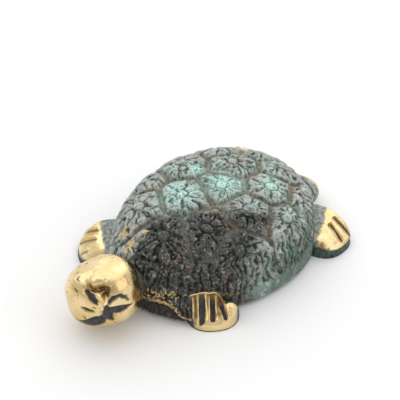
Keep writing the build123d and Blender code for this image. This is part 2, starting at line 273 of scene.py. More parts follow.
def flower_relief(points, own, arm, edge):
    """Depth of the flower on a scute: an oval disc in a moat, petals parted by leaf-shaped valleys that run
    outward, and short chisel strokes between. Wear thins it in places."""
    lean = disc_lean * own
    along = arm[..., 0] * np.cos(lean) + arm[..., 1] * np.sin(lean)
    beside = (arm[..., 1] * np.cos(lean) - arm[..., 0] * np.sin(lean)) * disc_oval
    out = np.hypot(along, beside) + 0.25 * rough(points, 2.5, 14)
    bearing = np.arctan2(beside, along)
    petals = fewest_petals + own % 2
    turn = bearing * petals / (2 * np.pi) + 0.22 * rough(points, 3.2, 12)
    aside = np.abs(turn % 1 - 0.5) * 2 * np.pi * out / petals
    moat = bell(out, moat_radius, 0.46)
    leaf = 0.30 + 0.36 * bell(out, 4.6, 1.8)
    valley = bell(aside, 0, leaf) * ramp(out, 2.3, 3.2) * ramp(edge, 0.5, 1.6)
    coarse = chisel_grain(own, bearing, out, 4.6, 2.8, 17) + 0.5 * grain(points, 1.1, 19)
    fine = chisel_grain(own, bearing, out, 8.5, 1.8, 18)
    stroke = np.maximum(ramp(coarse, 0.28, 0.52), 0.8 * ramp(fine, 0.40, 0.58))
    stroke = stroke * ramp(out, 2.6, 3.4) * ramp(edge, 0.2, 1.0)
    tip = bell(out, tip_radius, 0.45) * ramp(edge, 0.8, 2.0)
    pad = pad_rounding * (1 - ramp(edge, 0.4, 4.5)) + 0.004 * out**2
    wear = 0.90 + 0.50 * rough(points, 4.5, 21)
    return (moat_depth * moat + petal_depth * valley) * wear + stroke_depth * stroke + tip_depth * tip + pad


def flank_relief(rings, angle, lumps):
    """Depth on the flank: broad waves and finer hairs, both upright and wandering, and lumps."""
    drift = rough(rings, 9.0, 20)
    wave = 0.5 + 0.5 * np.cos(wave_count * angle + 9 * drift + 5.0 * rough(rings, 4.0, 23))
    hairs = 0.5 + 0.5 * np.cos(hair_count * angle + 11 * drift + 5.5 * rough(rings, 2.6, 27))
    return flank_depth + wave_depth * wave + hair_depth * hairs + lump_depth * lumps


def front_lip(rings):
    """Share of the bluff front under its lip, and share of the lip, a ragged line that drops to the sides."""
    across, ahead, height = np.moveaxis(rings, -1, 0)
    front = ramp(ahead, -26, -30) * ramp(across, 25, 22) * ramp(across, -25, -22)
    ragged = 0.9 * rough(rings * [1, 1, 0], 2.4, 33)
    lip_height = lip_middle_height - lip_side_drop * ramp(np.abs(across), 13.5, 22.0) + ragged
    below = ramp(height, lip_height, lip_height - 0.8) * front
    lip = bell(height, lip_height + 0.5, 0.55) * front
    return below, lip


def front_left_shade_zone(rings):
    """Share of painted shade on the front left of the shell, the side turned from the lamps: a stretch
    between two ragged slanting lines.
    """
    across, ahead, _ = np.moveaxis(rings, -1, 0)
    to_front_left = 0.7 * (across - ahead) + 2.5 * rough(rings, 6.0, 50)
    to_rear_left = 0.7 * (across + ahead) + 2.5 * rough(rings, 6.0, 53) + 2.0 * rough(rings, 1.6, 55)
    start = -22.5 - 0.45 * (to_front_left - 16)
    end = 25.0 - 0.53 * to_front_left
    stretch = ramp(to_rear_left - start, -2.5, 2.5) * ramp(to_rear_left - end, 3.5, -4.5)
    return ramp(to_front_left, 10.5, 15.0) * stretch


def inner_dome(rim):
    """Plain inside of the shell: the rim drawn in by the wall, then rings that shrink and rise as an oval."""
    tuck = rim * np.array([1 - shell_wall / half_width] * 2 + [1])
    rises = np.linspace(0, 1, 9)[:, None, None]
    shrink = np.cos(0.5 * np.pi * rises * 0.97)
    lift = np.sin(0.5 * np.pi * rises) * (dome_height - shell_wall)
    return np.concatenate([tuck[None, :, :2] * shrink, tuck[None, :, 2:] + lift], axis=-1)


def shell_skin():
    """The shell's outer face, sunk by its relief along its normals, turned under at the rim and closed by a
    plain inner dome, with marks for the zones of its patina and of its painted shade and highlight."""
    rings, flat, angle, centres, inside = shell_grid(turns=560, dome_rows=150, wall_rows=14)
    across, ahead, height = np.moveaxis(rings, -1, 0)
    own, arm, edge = scute_cells(rings, flat, centres)
    pads = ramp(inside + 2.6 * rough(rings, 5.0, 9), -1.8, 2.2)
    groove = 1 - ramp(edge + 0.35 * rough(rings, 2.2, 16), 0.25, 1.75)
    band = ramp(height, 7.6, 5.6) * ramp(ahead, -20, -12)
    lumps = rough(rings, 3.0, 30)
    cast = rough(rings, 1.5, 40)
    below, lip = front_lip(rings)
    depth = pads * (groove_depth * groove + flower_relief(rings, own, arm, edge))
    depth += (1 - pads) * (1 - band) * flank_relief(rings, angle, lumps)
    depth += band * (band_depth + 0.12 * lumps) + cast_depth * (cast + 1) * (1 - 0.5 * band)
    depth += rear_flattening * pads * ramp(ahead, -2.0, 14.0)
    depth += lip_undercut * below - lip * (0.4 + 0.5 * lumps)
    skin = rings - outward(rings) * depth[..., None]
    skin[..., 2] = np.minimum(skin[..., 2], shell_high[2])
    skin[..., 1] = np.maximum(skin[..., 1], shell_low[1] - widest_y)
    inner = inner_dome(skin[-1])
    # Cavity: how far each point lies below the broad form. It darkens the hollows as dark patina and painted
    # shade, and pales the ridges as a painted highlight.
    cavity = (depth - softened(depth, passes=18)) / 0.21
    low_bloom = spots(across, ahead, low_bloom_spot) * ramp(height, 12, 7)
    moss = ramp(across, 8, 22) * ramp(ahead, -16, -4) * ramp(height, 19, 12)
    gilt = spots(across, ahead, gilt_spots) * (1 - ramp(height, 10.0, 13.0) * ramp(across, 3, 7))
    zones = {
        # Hollows: dark patina and painted shade.
        "hollow_patina_and_shade": cavity,
        # Ridges: painted highlight.
        "edge": -cavity,
        "groove": groove * pads,
        "verdigris": spots(across, ahead, bloom_spots) + 0.34 * low_bloom,
        # Front left darkened: painted shade on the side turned from the lamps.
        "front_left_shade": front_left_shade_zone(rings) * (1 - 0.55 * groove * pads),
        "moss": moss + band + 0.6 * low_bloom,
        "worn": (gilt + 0.95 * lip) * (1 - below),
        "shade": below,
        "hem": bell(height, rim_low + 0.6, 0.7) * ramp(ahead, -22, -14),
    }
    plain = np.zeros(inner.shape[:2])
    marks = {zone: np.concatenate([np.clip(share, 0, 1), plain]) for zone, share in zones.items()}
    whole = np.concatenate([skin, inner]) + np.array([0, widest_y, 0])
    crown = np.array([0, widest_y, shell_high[2] - 0.5])
    inner_crown = np.array([0, widest_y, inner[-1, :, 2].mean()])
    return closed_skin("carapace_shell", whole, crown, inner_crown, marks)


def plug(owner, node, socket, value):
    """Links a value to a node's input where it comes from another node, and otherwise sets it there."""
    if isinstance(value, bpy.types.NodeSocket):
        owner.node_tree.links.new(value, node.inputs[socket])
    else:
        node.inputs[socket].default_value = value


def add_node(owner, kind, sockets=(), **settings):
    """One shader node, with its settings, and its sockets given as values or as links."""
    made = owner.node_tree.nodes.new(kind)
    for name, value in settings.items():
        setattr(made, name, value)
    for socket, value in dict(sockets).items():
        plug(owner, made, socket, value)
    return made


class Finish:
    """A procedural finish: its material, its surface shader, and the steps that build it up."""

    def __init__(self, name):
        self.material = bpy.data.materials.new(name)
        self.material.use_nodes = True
        self.surface = self.material.node_tree.nodes["Principled BSDF"]

    def feed(self, socket, value):
        """Gives the surface shader a value or a link."""
        plug(self.material, self.surface, socket, value)

    def mark(self, name):
        """The number that a mesh stores at each point under that name."""
        return add_node(self.material, "ShaderNodeAttribute", attribute_name=name).outputs["Fac"]

    def mottle(self, size, detail, low, high):
        """Noise on Object coordinates with features of that size in millimetres, 0 at low and 1 at high."""
        place = add_node(self.material, "ShaderNodeTexCoord").outputs["Object"]
        sockets = {"Vector": place, "Scale": 1 / (size * MM), "Detail": detail}
        noise = add_node(self.material, "ShaderNodeTexNoise", sockets).outputs["Fac"]
        return self.rise(noise, low, high, interpolation_type="SMOOTHSTEP")

    def rise(self, value, start, end, low=0.0, high=1.0, **settings):
        """Number that goes from low to high as the value goes from start to end."""
        sockets = {0: value, 1: start, 2: end, 3: low, 4: high}
        return add_node(self.material, "ShaderNodeMapRange", sockets, **settings).outputs["Result"]

    def tint(self, share, base, top):
        """Colour that goes from base to top as the share goes from 0 to 1."""
        sockets = {0: share, 6: base, 7: top}
        return add_node(self.material, "ShaderNodeMix", sockets, data_type="RGBA").outputs[2]

    def reckon(self, operation, first, second, held=True):
        """One operation on two numbers, held between 0 and 1 unless told not to."""
        settings = {"operation": operation, "use_clamp": held}
        return add_node(self.material, "ShaderNodeMath", {0: first, 1: second}, **settings).outputs[0]

    def times(self, first, second):
        """Product of two shares."""
        return self.reckon("MULTIPLY", first, second)

    def less(self, first, second):
        """First share less the second."""
        return self.reckon("SUBTRACT", first, second)

    def plus(self, first, second):
        """Both shares together."""
        return self.reckon("ADD", first, second)

    def bump(self, size, detail, distance, strength=1.0):
        """Roughens the surface by a mottle of that size, up to that distance, both in millimetres."""
        height = self.mottle(size, detail, 0.2, 0.8)
        sockets = {"Height": height, "Distance": distance * MM, "Strength": strength}
        self.feed("Normal", add_node(self.material, "ShaderNodeBump", sockets).outputs["Normal"])


# Patina colours, and the colours of painted shade and highlight
dull_grey = (0.130, 0.138, 0.122, 1)
pale_grey = (0.510, 0.560, 0.508, 1)
moss_green = (0.070, 0.125, 0.094, 1)
algae_green = (0.095, 0.235, 0.180, 1)
groove_brown = (0.215, 0.180, 0.120, 1)
# Grey of the painted highlight on the ridges.
ridge_highlight_grey = (0.50, 0.55, 0.50, 1)
# Black of the painted shade on the front left.
painted_shade_black = (0.024, 0.019, 0.020, 1)
verdigris_green = (0.52, 0.82, 0.73, 1)
chalk_grey = (0.36, 0.41, 0.37, 1)
# Dark patina and painted shade in the hollows.
hollow_patina_shade_black = (0.012, 0.011, 0.013, 1)
grime_black = (0.024, 0.024, 0.024, 1)
shade_black = (0.050, 0.047, 0.047, 1)
rust_orange = (0.38, 0.22, 0.105, 1)
hem_red = (0.17, 0.065, 0.055, 1)
worn_gold = (0.70, 0.50, 0.20, 1)


def patinated_brass():
    """Blackened cast brass: grey-green mottle, moss and verdigris by zones, brown grooves, rust specks, and
    gold where it is worn; painted shade on the front left and under the front lip, dark patina with painted
    shade in the hollows, and a painted highlight on the ridges."""
    finish = Finish("patinated_brass")
    front_left_shade = finish.mark("front_left_shade")
    groove = finish.mark("groove")
    # Hollows darkened by the cavity, less in the grooves: dark patina and painted shade.
    hollow_patina_and_shade = finish.times(finish.mark("hollow_patina_and_shade"), finish.less(1.0, finish.times(groove, 0.62)))
    moss = finish.times(finish.mark("moss"), finish.mottle(3, 6, 0.24, 0.52))
    algae = finish.times(finish.mottle(5, 5, 0.46, 0.62), 0.40)
    brown = finish.times(finish.mottle(3, 5, 0.28, 0.52), groove)
    brown = finish.less(brown, finish.times(front_left_shade, 0.75))
    # Ridges paled by the cavity, less under moss: painted highlight.
    edge = finish.less(finish.times(finish.mark("edge"), 0.62), finish.times(moss, 0.40))
    # Painted shade on the front left, mottled.
    mottled_shade = finish.times(finish.times(front_left_shade, finish.mottle(1.3, 6, 0.22, 0.48)), 0.90)
    bloom = finish.times(finish.mark("verdigris"), finish.mottle(1.2, 6, 0.28, 0.48))
    chalk = finish.times(finish.mottle(0.7, 4, 0.58, 0.68), 0.45)
    grime = finish.times(finish.mottle(0.8, 5, 0.53, 0.62), 0.58)
    rust = finish.times(finish.mottle(1.3, 6, 0.59, 0.66), finish.mottle(9, 2, 0.36, 0.58))
    hem = finish.times(finish.mark("hem"), finish.mottle(4, 4, 0.48, 0.60))
    flecks = finish.reckon("ADD", finish.mark("worn"), finish.mottle(0.9, 6, 0.42, 0.66), held=False)
    gilt = finish.rise(flecks, 1.05, 1.20)
    layers = [
        (moss, moss_green), (algae, algae_green), (brown, groove_brown), (edge, ridge_highlight_grey),
        (mottled_shade, painted_shade_black), (bloom, verdigris_green), (chalk, chalk_grey),
        (finish.times(hollow_patina_and_shade, 0.76), hollow_patina_shade_black),
        (grime, grime_black), (finish.mark("shade"), shade_black), (finish.times(rust, 0.80), rust_orange),
        (hem, hem_red), (gilt, worn_gold),
    ]
    colour = finish.tint(finish.mottle(3.5, 6, 0.36, 0.64), dull_grey, pale_grey)
    for share, top in layers:
        colour = finish.tint(share, colour, top)
    finish.feed("Base Color", colour)
    finish.feed("Metallic", gilt)
    finish.feed("Roughness", finish.rise(finish.mottle(2.5, 4, 0.3, 0.7), 0.0, 1.0, 0.32, 0.56))
    # Painted shade on the gloss: less specular in the hollows and on the front left, as if their reflections
    # were blocked.
    painted_shade_dulling = finish.plus(finish.times(front_left_shade, 0.55), finish.times(hollow_patina_and_shade, 0.9))
    finish.feed("Specular IOR Level", finish.times(finish.less(1.0, painted_shade_dulling), 0.55))
    finish.feed("Sheen Weight", 0.06)
    finish.feed("Sheen Roughness", 0.45)
    finish.bump(0.55, 5, 0.26, 0.8)
    return finish.material


shell = shell_skin()
shell.data.materials.append(patinated_brass())
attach(shell, "root")
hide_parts("carapace")

# Plastron: the belly plate, a flat casting that closes the shell from below.
# It is the same brass, darkened and left as it came from the sand, and the screws pass through it.
plate_black = (0.030, 0.028, 0.022, 1)
plate_green = (0.075, 0.080, 0.058, 1)


def dark_brass():
    """Darkened cast brass: brown black with a green cast and a sandy skin."""
    finish = Finish("dark_brass")
    finish.feed("Base Color", finish.tint(finish.mottle(6, 5, 0.4, 0.6), plate_black, plate_green))
    finish.feed("Roughness", finish.mottle(3, 3, -0.6, 1.1))
    finish.feed("Metallic", 0.4)
    finish.bump(0.5, 3, 0.15)
    return finish.material


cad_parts["plastron"].data.materials.clear()
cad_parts["plastron"].data.materials.append(dark_brass())

# Head: a solid brass casting on a short neck, polished to gold by hand, with the patina left in its cuts.
# The neck's tang goes in through a window in the shell's front and is held by one screw from below.
head_centre = np.array([0.0, widest_y - 52.4, 12.9])
head_radius = 11.35
head_depth = 10.8
head_half_height = 9.35
head_square = 3.1
head_round = 2.15
head_turn, head_tilt, head_roll = np.radians([46.0, 10.0, 10.0])
facing = np.array([
    np.sin(head_turn) * np.cos(head_tilt), -np.cos(head_turn) * np.cos(head_tilt), np.sin(head_tilt)
])
level_left = np.array([np.cos(head_turn), np.sin(head_turn), 0.0])
level_up = np.cross(facing, level_left)
head_up = level_up * np.cos(head_roll) - level_left * np.sin(head_roll)
head_left = level_left * np.cos(head_roll) + level_up * np.sin(head_roll)

# Face: lines across it as shares of the head's radius to its left and of its half height, with half widths
nose_line = [(-0.02, 0.58, 0), (0.03, 0.40, 0), (0.10, 0.20, 0)]
brow_line = [(-0.07, 0.85, 0), (0.04, 0.87, 0), (0.15, 0.84, 0)]
right_hollow_line = [(-0.14, 0.71, 0), (-0.24, 0.80, 0), (-0.31, 0.71, 0)]
left_hollow_line = [(0.05, 0.66, 0), (0.16, 0.68, 0), (0.26, 0.59, 0), (0.18, 0.46, 0)]
face_cuts = {
    "right eye": [
        (-0.34, 0.71, 0.01), (-0.28, 0.61, 0.07), (-0.20, 0.49, 0.10), (-0.14, 0.33, 0.085),
        (-0.10, 0.19, 0.02),
    ],
    "left eye": [
        (0.20, 0.13, 0.02), (0.26, 0.22, 0.055), (0.38, 0.30, 0.065), (0.54, 0.30, 0.06),
        (0.65, 0.17, 0.045), (0.73, -0.02, 0.01),
    ],
    "mouth": [(0.14, 0.06, 0.05), (0.14, -0.13, 0.14), (0.10, -0.30, 0.14), (0.18, -0.50, 0.05)],
    "left of mouth": [(0.24, -0.10, 0.11), (0.43, -0.16, 0.13), (0.60, -0.20, 0.09), (0.78, -0.24, 0.02)],
    "right of mouth": [
        (0.0, -0.34, 0.11), (-0.20, -0.46, 0.22), (-0.42, -0.56, 0.20), (-0.64, -0.56, 0.12),
        (-0.83, -0.54, 0.02),
    ],
    "right cheek": [(-0.54, 0.11, 0.015), (-0.40, 0.04, 0.055), (-0.25, -0.04, 0.015)],
}

# Face: heights and depths in millimetres, and the direction in which the head is flattest, in its own frame
brow_height = 1.4
nose_height = 1.1
right_hollow_depth = 1.5
left_hollow_depth = 1.9
cut_depth = 0.65
pit_depth = 0.10
dent_height = 0.13
nape_flattening = 0.85
nape_direction = (-0.57, 0.73, -0.36)


def near_line(across, upward, line):
    """Distance from each point of the face to a broken line, less half the line's width there, in shares."""
    place = np.stack([across, upward], axis=-1)
    best = np.full(across.shape, np.inf)
    line = np.array(line)
    for start, end in zip(line[:-1], line[1:]):
        run = end[:2] - start[:2]
        share = np.clip(((place - start[:2]) @ run) / (run @ run), 0, 1)
        gap = np.linalg.norm(place - start[:2] - share[..., None] * run, axis=-1)
        best = np.minimum(best, gap - start[2] - share * (end[2] - start[2]))
    return best


def head_skin():
    """Ball by angle from its facing axis and angle round it, where a power law on all three axes makes it
    squarish, with its right nape flattened; drawn out at the brow and nose, sunk beside them,
    cut at the eyes and mouth, and pitted."""
    away = np.linspace(0, np.pi, 240)[1:-1, None]
    round_angle = np.linspace(0, 2 * np.pi, 400, endpoint=False)[None]
    across = np.sin(away) * np.cos(round_angle)
    upward = np.sin(away) * np.sin(round_angle)
    ahead = np.cos(away) * np.ones_like(round_angle)
    breadth = (np.abs(across) / head_radius) ** head_round + (np.abs(ahead) / head_depth) ** head_round
    height = (np.abs(upward) / head_half_height) ** head_square
    size = (breadth ** (head_square / head_round) + height) ** (-1 / head_square)
    direction = np.stack([across, upward, ahead], axis=-1)
    local = direction * size[..., None]
    rings = local @ np.stack([head_left, head_up, facing]) + head_centre
    side = local[..., 0] / head_radius + 0.035 * rough(rings, 1.6, 65)
    rise = local[..., 1] / head_half_height + 0.035 * rough(rings, 1.6, 68)
    face = ramp(ahead, 0.0, 0.15)
    nose = bell(near_line(side, rise, nose_line), 0, 0.07) * face
    brow = bell(near_line(side, rise, brow_line), 0, 0.095) * face
    right_hollow = bell(near_line(side, rise, right_hollow_line), 0, 0.09) * face
    left_hollow = bell(near_line(side, rise, left_hollow_line), 0, 0.13) * face
    cuts = [ramp(near_line(side, rise, line), 0.035, -0.025) for line in face_cuts.values()]
    cut = np.max(cuts, axis=0) * face
    pits = ramp(grain(rings, 0.7, 61) * 0.6 + grain(rings, 1.3, 63) * 0.5, 0.40, 0.54)
    pits *= 0.35 + 0.65 * ramp(side, 0.1, -0.4) + 0.5 * ramp(rise, -0.2, -0.5)
    pits = np.clip(pits, 0, 1)
    lift = brow_height * brow + nose_height * nose
    lift -= right_hollow_depth * right_hollow + left_hollow_depth * left_hollow
    lift += dent_height * rough(rings, 4.5, 70) - cut_depth * cut - pit_depth * pits
    lift -= nape_flattening * ramp(direction @ np.array(nape_direction), 0.68, 1.0)
    skin = rings + outward(rings) * lift[..., None]
    nape = ramp(skin[..., 1] - head_centre[1] + 0.5 * rough(skin, 2.0, 75), 7.2, 8.3)
    # Painted shade and dark reflection: brown in the hollows beside the nose and on the nape against the
    # shell.
    stain_and_shade = 0.7 * right_hollow + 0.95 * left_hollow * (1 - nose) + 0.85 * nape
    marks = {
        "tarnish": np.clip(np.maximum(cut, 0.8 * pits), 0, 1),
        "stain_and_shade": np.clip(stain_and_shade, 0, 1),
        "green": np.zeros_like(cut),
        "bloom": np.zeros_like(cut),
    }
    pole = head_centre + facing * head_depth
    rear = head_centre - facing * head_depth
    return closed_skin("head_ball", skin, pole, rear, marks)


# Colours of the polished brass, of what is left on it, and of painted shade
deep_gold = (0.72, 0.53, 0.24, 1)
pale_gold = (0.86, 0.68, 0.38, 1)
# Brown for stains and for painted shade and dark reflection.
stain_and_shade_brown = (0.120, 0.066, 0.020, 1)
wall_black = (0.016, 0.022, 0.019, 1)
wall_green = (0.060, 0.105, 0.085, 1)
bloom_dark = (0.130, 0.142, 0.130, 1)
bloom_pale = (0.34, 0.37, 0.34, 1)
tarnish_black = (0.018, 0.016, 0.020, 1)
tarnish_grey = (0.060, 0.062, 0.066, 1)


def polished_brass():
    """Hand polished brass: warm gold with fine scratches, painted brown shade and dark reflection in the
    hollows, at the nape, on the neck and in the scoop, green or grey-green where the patina stays, and black
    in the cuts."""
    finish = Finish("polished_brass")
    green = finish.mark("green")
    bloom = finish.mark("bloom")
    tarnish = finish.times(finish.mark("tarnish"), finish.mottle(1.2, 4, 0.04, 0.36))
    layers = [
        # Brown: painted shade and dark reflection in the hollows, and stains.
        (finish.mark("stain_and_shade"), stain_and_shade_brown),
        (green, finish.tint(finish.mottle(1.6, 5, 0.35, 0.65), wall_black, wall_green)),
        (bloom, finish.tint(finish.mottle(1.4, 6, 0.35, 0.65), bloom_dark, bloom_pale)),
        (tarnish, finish.tint(finish.mottle(1.0, 4, 0.4, 0.7), tarnish_black, tarnish_grey)),
    ]
    colour = finish.tint(finish.mottle(5, 4, 0.3, 0.7), deep_gold, pale_gold)
    for share, top in layers:
        colour = finish.tint(share, colour, top)
    finish.feed("Base Color", colour)
    covered = finish.plus(finish.plus(tarnish, bloom), finish.times(green, 0.9))
    finish.feed("Metallic", finish.less(1.0, covered))
    gloss = finish.rise(finish.mottle(2, 5, 0.3, 0.7), 0.0, 1.0, 0.15, 0.28)
    finish.feed("Roughness", finish.plus(gloss, finish.times(covered, 0.35)))
    finish.bump(0.8, 4, 0.08, 0.4)
    return finish.material


# Neck: its ends, half width and half height
neck_start = np.array([0.0, widest_y - 33.6, 10.3])
neck_end = np.array([0.0, widest_y - 48.0, 11.6])
neck_half_width = 7.2
neck_half_height = 5.4


def neck_skin():
    """Neck: an oval carried from inside the shell into the back of the head, where its ends stay hidden."""
    along = np.linspace(0, 1, 40)[:, None, None]
    round_angle = np.linspace(0, 2 * np.pi, 96, endpoint=False)[None]
    section = np.stack([
        neck_half_width * np.cos(round_angle), 0 * round_angle, neck_half_height * np.sin(round_angle)
    ], axis=-1)
    rings = neck_start + (neck_end - neck_start) * along + section
    rings = rings + 0.2 * rough(rings, 4.0, 80)[..., None] * outward(rings)
    ones = np.ones(rings.shape[:2])
    # The neck is painted all brown as shade where it tucks under the shell, with tarnish and green patina.
    marks = {"tarnish": 0.5 * ones, "stain_and_shade": ones, "green": 0.4 * ones, "bloom": 0 * ones}
    return closed_skin("neck", rings, neck_start, neck_end, marks)


gold = polished_brass()
head = head_skin()
head.data.materials.append(gold)
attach(head, "root")
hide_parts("head")
neck = neck_skin()
neck.data.materials.append(gold)
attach(neck, "root")

# Feet: four solid castings with claw grooves, polished on top and left dark in the grooves and on the walls.
# Each goes in through a window in the shell and is held by a screw from below.
foot_toe = 13.0
foot_heel = 7.0
foot_half_length = (foot_toe + foot_heel) / 2
foot_middle = (foot_toe - foot_heel) / 2
foot_half_width = 8.6
foot_roundness = 0.8
claw_depth = 0.95
bead_height = 0.48

# Feet: place from the widest station, heading of the toes in degrees, height of the instep by distance ahead,
# radius of the shoulder, and grooves as place to the side, lean, start, end and half width, in millimetres
feet = {
    "foot_front_left": (
        (17.8, -23.7), -38, ((5.6, 10.0), (7.4, 9.3), (9.6, 8.2), (11.4, 6.2), (13.0, 3.6)), 2.4,
        ((-7.9, -0.12, 6.2, 11.0, 0.60), (-3.9, -0.12, 6.0, 12.2, 0.64), (-0.6, -0.10, 6.4, 12.2, 0.46),
         (2.7, 0.28, 8.2, 12.0, 0.40)),
    ),
    "foot_front_right": (
        (-21.0, -26.8), -128, ((4.6, 8.6), (6.5, 7.6), (9.0, 5.8), (12.0, 3.6), (13.0, 2.8)), 2.2,
        ((-0.7, -0.60, 6.6, 12.2, 0.60), (4.2, -0.60, 9.6, 12.4, 0.45), (-5.2, -0.65, 5.6, 10.6, 0.55)),
    ),
    "foot_rear_left": (
        (19.2, 23.7), 4, ((1.0, 7.7), (4.0, 7.0), (6.5, 6.1), (9.6, 4.8), (12.0, 3.6), (13.0, 3.0)), 1.0,
        ((0.7, -0.26, 4.6, 12.0, 0.20), (4.7, -0.12, 3.8, 12.0, 0.12)),
    ),
    "foot_rear_right": (
        (-17.5, 29.9), 112, ((5.4, 9.3), (7.6, 7.4), (9.8, 5.6), (12.0, 3.8), (13.0, 3.0)), 2.8,
        ((-4.0, 0.0, 6.0, 12.0, 0.5), (0.0, 0.0, 6.0, 12.2, 0.5), (4.0, 0.0, 6.0, 12.0, 0.5)),
    ),
}

# Scoop of the front left foot: a circle across the toes, the crest of its rim, and the outer toe's height
# by distance ahead
scoop_radius = 7.0
scoop_ahead = 13.34
scoop_height = 10.9
crest_ahead = 6.1
outer_toe_ahead = [5.0, 7.0, 8.6, 10.0, 12.0, 13.0]
outer_toe_heights = [5.6, 6.6, 7.6, 7.0, 5.0, 3.4]
outer_toe_side = 5.0


def scooped(along, side, flat, top):
    """Top of the front left foot: sunk to a circle across the toes, behind which a ragged rim is left,
    with a rounded outer toe beside it. The share of the hollow comes with it."""
    crest = crest_ahead + 0.34 * np.maximum(side - 0.4, 0) ** 2 + 0.25 * grain(flat, 1.6, 90)
    top = top - 0.16 * np.maximum(side - 0.2, 0) ** 2 + 0.35 * grain(flat, 1.3, 91) * ramp(along, 7.5, 6.5)
    outer_toe = np.interp(along, outer_toe_ahead, outer_toe_heights) - 0.16 * (side - outer_toe_side) ** 2
    top = top + (outer_toe - top) * ramp(side, 2.8, 4.2)
    run = np.clip(along - crest + crest_ahead - scoop_ahead, -scoop_radius, 0)
    floor_height = scoop_height - np.sqrt(np.maximum(scoop_radius**2 - run**2, 0))
    inner_toes = ramp(side, 4.0, 2.8)
    top = top + (np.minimum(floor_height, top) - top) * inner_toes * ramp(along, crest, crest + 0.5)
    rim = bell(along, crest - 0.15, 0.55) * ramp(side, 4.2, 3.2) * ramp(side, -8.4, -7.4)
    return top + 0.35 * rim, inner_toes * ramp(along, crest + 0.05, crest + 0.3)


def claw_grooves(along, side, flat, grooves):
    """Share of the grooves, by distance from each one's leaning line, and share of the beads beside them."""
    cut = np.zeros(along.shape)
    bead = np.zeros(along.shape)
    for at, lean, start, end, half in grooves:
        gap = np.abs(side - at - lean * (along - 10)) + 0.12 * grain(flat, 0.9, 95)
        spans = ramp(along, start, start + 0.7) * ramp(along, end, end - 0.6)
        taper = half * (0.75 + 0.25 * spans)
        cut = np.maximum(cut, ramp(gap, taper + 0.28, taper - 0.12) * spans)
        bead = np.maximum(bead, bell(gap, half + 0.58, 0.38) * spans)
    return cut, bead


def foot_marks(node, rings, flat, inset, cut, bead, hollow, pits):
    """Zones of a foot's finish: tarnish in the grooves and pits, painted brown shade and dark reflection in
    the scoop, patina on the walls, and a dull grey-green behind the polish. The rows after the top are the
    wall and the sole."""
    along, side = flat[..., 0], flat[..., 1]
    under = np.zeros((len(rings) - len(along), along.shape[1]))
    ragged = along + 0.7 * grain(flat, 1.4, 98)
    dirt, stain_and_shade, dull, behind = cut, 0 * along, 0 * along, 0 * along
    side_wall = np.concatenate([ramp(inset, 0.35, 0.0), under + 1])
    if node == "foot_front_left":
        between = bell(side, -6.0, 1.5) + bell(side, 1.2, 1.3)
        # Painted shade and dark reflection in the scoop under its rim, kept off the beads.
        stain_and_shade = 0.95 * hollow * ramp(along, 10.6 + 1.6 * between, 7.6 + 2.2 * between) * (1 - bead)
        toe_gold = ramp(rings[..., 0], 8.6, 10.6) * ramp(rings[..., 1], -7.2, -5.8) * (rings[..., 2] > 0.25)
        side_wall = side_wall * (1 - toe_gold)
        beside_rim = ramp(side, 3.2, 4.4) * ramp(along + 0.8 * grain(flat, 1.5, 97), 7.6, 6.6)
        behind = ramp(along, 5.7, 4.9) + beside_rim
    elif node == "foot_front_right":
        third = ramp(side, 1.8, 2.4)
        dirt = cut * (0.62 - 0.62 * third)
        dull = ramp(ragged, 5.6, 4.4) + cut * third
    elif node == "foot_rear_left":
        stain_and_shade = 0.9 * bell(np.hypot(along - 8.6, side + 6.6), 0, 1.3)
        dull = ramp(ragged + 0.45 * side, 4.2, 3.2)
        behind = dull * ramp(side, -1.5, -3.5)
    zones = {
        "tarnish": np.maximum(np.concatenate([dirt, under]), 0.55 * pits),
        "stain_and_shade": np.concatenate([stain_and_shade, under]),
        "green": np.maximum(side_wall, np.concatenate([behind, under])),
        "bloom": np.concatenate([dull, under]),
    }
    return {zone: np.clip(share, 0, 1) for zone, share in zones.items()}


